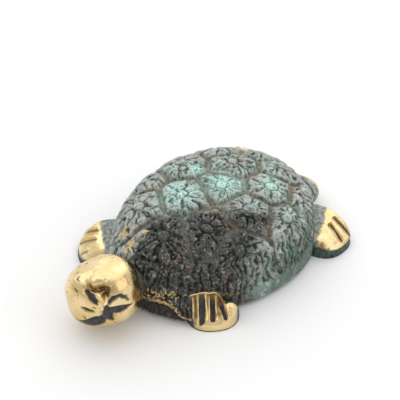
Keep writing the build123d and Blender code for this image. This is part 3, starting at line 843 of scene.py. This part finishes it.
def foot_skin(node, offset, heading, instep, shoulder, grooves, seed, wall_rows=16, sole_rows=10):
    """Paddle over a squarish plan, whose cosine and sine are raised to a power: rings from the middle outward
    over the instep and the grooved toes, round a shoulder, down the wall and in to the middle of the sole."""
    round_angle = np.linspace(0, 2 * np.pi, 340, endpoint=False)[None]
    cosine, sine = np.cos(round_angle), np.sin(round_angle)
    plan_along = np.sign(cosine) * np.abs(cosine) ** foot_roundness * foot_half_length
    plan_side = np.sign(sine) * np.abs(sine) ** foot_roundness * foot_half_width
    spread = np.linspace(0, 1, 121)[1:, None] ** 0.72
    along = foot_middle + spread * plan_along
    side = spread * plan_side
    flat = np.stack([along, side, np.full(side.shape, 3.0 * seed)], axis=-1)
    inset = (1 - spread) * np.hypot(plan_along, plan_side)
    places, heights = np.array(instep).T
    shifts = np.linspace(-1.6, 1.6, 5)
    top = sum(np.interp(along + shift, places, heights) for shift in shifts) / len(shifts)
    top = top - 0.7 * (np.abs(side) / foot_half_width) ** 4
    hollow = 0 * along
    if node == "foot_front_left":
        top, hollow = scooped(along, side, flat, top)
    drop = shoulder * (1 - np.sqrt(1 - (1 - np.clip(inset / shoulder, 0, 1)) ** 2))
    top = np.maximum(top - drop, 0.9)
    cut, bead = claw_grooves(along, side, flat, grooves)
    top = np.maximum(top + bead_height * bead - claw_depth * cut, 0.7)
    level = np.stack([along, side, top], axis=-1)
    wall = np.linspace(1, 0, wall_rows + 1)[1:, None, None]
    wall_rings = level[-1:] * np.concatenate([np.ones((wall_rows, 1, 2)), wall], axis=-1)
    sole = np.linspace(1, 0, sole_rows + 2)[1:-1, None]
    sole_along = foot_middle + sole * plan_along
    sole_rings = np.stack([sole_along, sole * plan_side, 0 * sole_along], axis=-1)
    rings = np.concatenate([level, wall_rings, sole_rings])
    turn = np.radians(heading)
    ahead = np.array([np.cos(turn), np.sin(turn), 0])
    beside = np.array([-np.sin(turn), np.cos(turn), 0])
    place = np.array([offset[0], widest_y + offset[1], 0.0])
    placed = place + rings @ np.stack([ahead, beside, [0, 0, 1]])
    uneven = 0.16 * rough(placed, 4.0, seed) - 0.16
    uneven[-1 - sole_rows:] = 0
    placed = placed + outward(placed) * uneven[..., None]
    placed[..., 2] = np.maximum(placed[..., 2], 0)
    pits = ramp(grain(placed, 0.8, seed + 7) * 0.6 + grain(placed, 1.5, seed + 9) * 0.5, 0.55, 0.68)
    marks = foot_marks(node, rings, flat, inset, cut, bead, hollow, pits)
    sole_middle = place + foot_middle * ahead
    top_middle = sole_middle + np.array([0, 0, level[0, :, 2].mean()])
    return closed_skin(node + "_cast", placed, top_middle, sole_middle, marks)


for seed, (node, values) in enumerate(feet.items(), start=100):
    foot = foot_skin(node, *values, seed)
    foot.data.materials.append(gold)
    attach(foot, "root")
    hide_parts(node)

# Tail: a short broad flap that leans to the turtle's left, green like the shell and worn bright at its edge.
# Its tang is held by the smallest screw.
tail_half_width = 7.6
tail_half_height = 3.9
tail_reach = 8.2
tail_root = 0.4
tail_heading = np.radians(74.0)
tail_place = np.array([4.2, widest_y + 32.2, rim_low + tail_half_height])
tail_line_ahead = 3.3


def tail_skin():
    """Flap with a blunt tip: an oval carried along the tail's heading, its size falling as a power of reach,
    with one chisel line across its top."""
    along = np.linspace(-tail_root, 1, 110)[:-1, None]
    round_angle = np.linspace(0, 2 * np.pi, 180, endpoint=False)[None]
    size = (1 - np.maximum(along, 0) ** 2.4) ** 0.62
    ahead = np.array([np.cos(tail_heading), np.sin(tail_heading), 0])
    beside = np.array([np.sin(tail_heading), -np.cos(tail_heading), 0])
    spine = tail_place + tail_reach * along[..., None] * ahead
    side = tail_half_width * size * np.cos(round_angle)
    rise = tail_half_height * size * np.sin(round_angle)
    rings = spine + side[..., None] * beside + rise[..., None] * np.array([0, 0, 1.0])
    above = ramp(rise, -0.2, 0.6)
    line = bell(along * tail_reach - 0.02 * side, tail_line_ahead, 0.28)
    line = line * above * ramp(side, -1.5, 0.0) * ramp(side, 6.8, 6.0)
    rings = rings + outward(rings) * (0.14 * rough(rings, 3.0, 120) - 0.14 - 0.4 * line)[..., None]
    rings[..., 2] = np.maximum(rings[..., 2], rim_low)
    bright = ramp(along - 0.03 * side + 0.10 * rough(rings, 2.0, 125), 0.60, 0.76) * ramp(rise, -1.2, -0.2)
    marks = {
        "tarnish": line,
        "stain_and_shade": np.zeros_like(line),
        "green": (1 - above) * 0.8,
        "bloom": (1 - bright) * above,
    }
    root = tail_place - tail_root * tail_reach * ahead
    tip = tail_place + tail_reach * ahead
    return closed_skin("tail_flap", rings, root, tip, marks)


tail = tail_skin()
tail.data.materials.append(gold)
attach(tail, "root")
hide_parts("tail")

# Screws: six countersunk brass screws with driver slots, driven from below through the belly plate.
# They are turned parts, left satin.
satin_dark = (0.42, 0.30, 0.12, 1)
satin_pale = (0.56, 0.42, 0.19, 1)


def screw_brass():
    """Satin turned brass: pale gold with a little tarnish and an uneven gloss."""
    finish = Finish("screw_brass")
    finish.feed("Base Color", finish.tint(finish.mottle(2, 3, 0.35, 0.65), satin_dark, satin_pale))
    finish.feed("Metallic", 1.0)
    finish.feed("Roughness", finish.mottle(1, 3, -0.4, 1.4))
    return finish.material


satin = screw_brass()
for node in ("foot_screws", "neck_screw", "tail_screw"):
    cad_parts[node].data.materials.clear()
    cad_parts[node].data.materials.append(satin)

# Stage: a white paper floor and a bright soft room, brightest above and behind the turtle's right.
# The camera looks down from ahead of the turtle's left shoulder.
floor_half = 3.0
floor_corners = [(-1, -1), (1, -1), (1, 1), (-1, 1)]
floor_mesh = bpy.data.meshes.new("floor")
floor_mesh.from_pydata([(x * floor_half, y * floor_half, 0) for x, y in floor_corners], [], [(0, 1, 2, 3)])
floor = bpy.data.objects.new("floor", floor_mesh)
bpy.context.collection.objects.link(floor)
paper = Finish("white_paper")
paper.feed("Base Color", (0.92, 0.92, 0.92, 1))
paper.feed("Roughness", 0.9)
paper.feed("Specular IOR Level", 0.0)
floor.data.materials.append(paper.material)

# Room light: its direction, and its strength from the dimmest side to the brightest
bright_direction = (-0.55, 0.55, 0.63)
dim_strength = 0.68
bright_strength = 0.95
world = bpy.data.worlds.new("studio")
world.use_nodes = True
sky = world.node_tree.nodes["Background"]
plug(world, sky, "Color", (1, 1, 1, 1))
toward = add_node(world, "ShaderNodeTexCoord").outputs["Generated"]
sockets = {0: toward, 1: bright_direction}
share = add_node(world, "ShaderNodeVectorMath", sockets, operation="DOT_PRODUCT").outputs["Value"]
sockets = {0: share, 1: -0.3, 2: 0.9, 3: dim_strength, 4: bright_strength}
plug(world, sky, "Strength", add_node(world, "ShaderNodeMapRange", sockets).outputs["Result"])
bpy.context.scene.world = world

camera_place = Vector((0.26396, widest_y * MM - 0.28184, 0.33000))
camera_aim = Vector((-0.0204, widest_y * MM + 0.011175, 0.0))
lens = bpy.data.cameras.new("camera")
lens.lens = 138.8
lens.sensor_width = 36.0
camera = bpy.data.objects.new("camera", lens)
camera.location = camera_place
camera.rotation_euler = (camera_aim - camera_place).to_track_quat("-Z", "Y").to_euler()
bpy.context.collection.objects.link(camera)
bpy.context.scene.camera = camera

# Lamps: place and size in metres, and power in watts; each looks at the origin
lamps = {
    "key": ((-0.75, 0.65, 1.25), 2.8, 14.5),
    "fill": ((0.90, 0.40, 0.60), 1.0, 2.0),
}
for name, (place, size, power) in lamps.items():
    light = bpy.data.lights.new(name, "AREA")
    light.size = size
    light.energy = power
    lamp = bpy.data.objects.new(name, light)
    lamp.location = place
    lamp.rotation_euler = (-Vector(place)).to_track_quat("-Z", "Y").to_euler()
    bpy.context.collection.objects.link(lamp)
bpy.context.scene.view_settings.view_transform = "Standard"
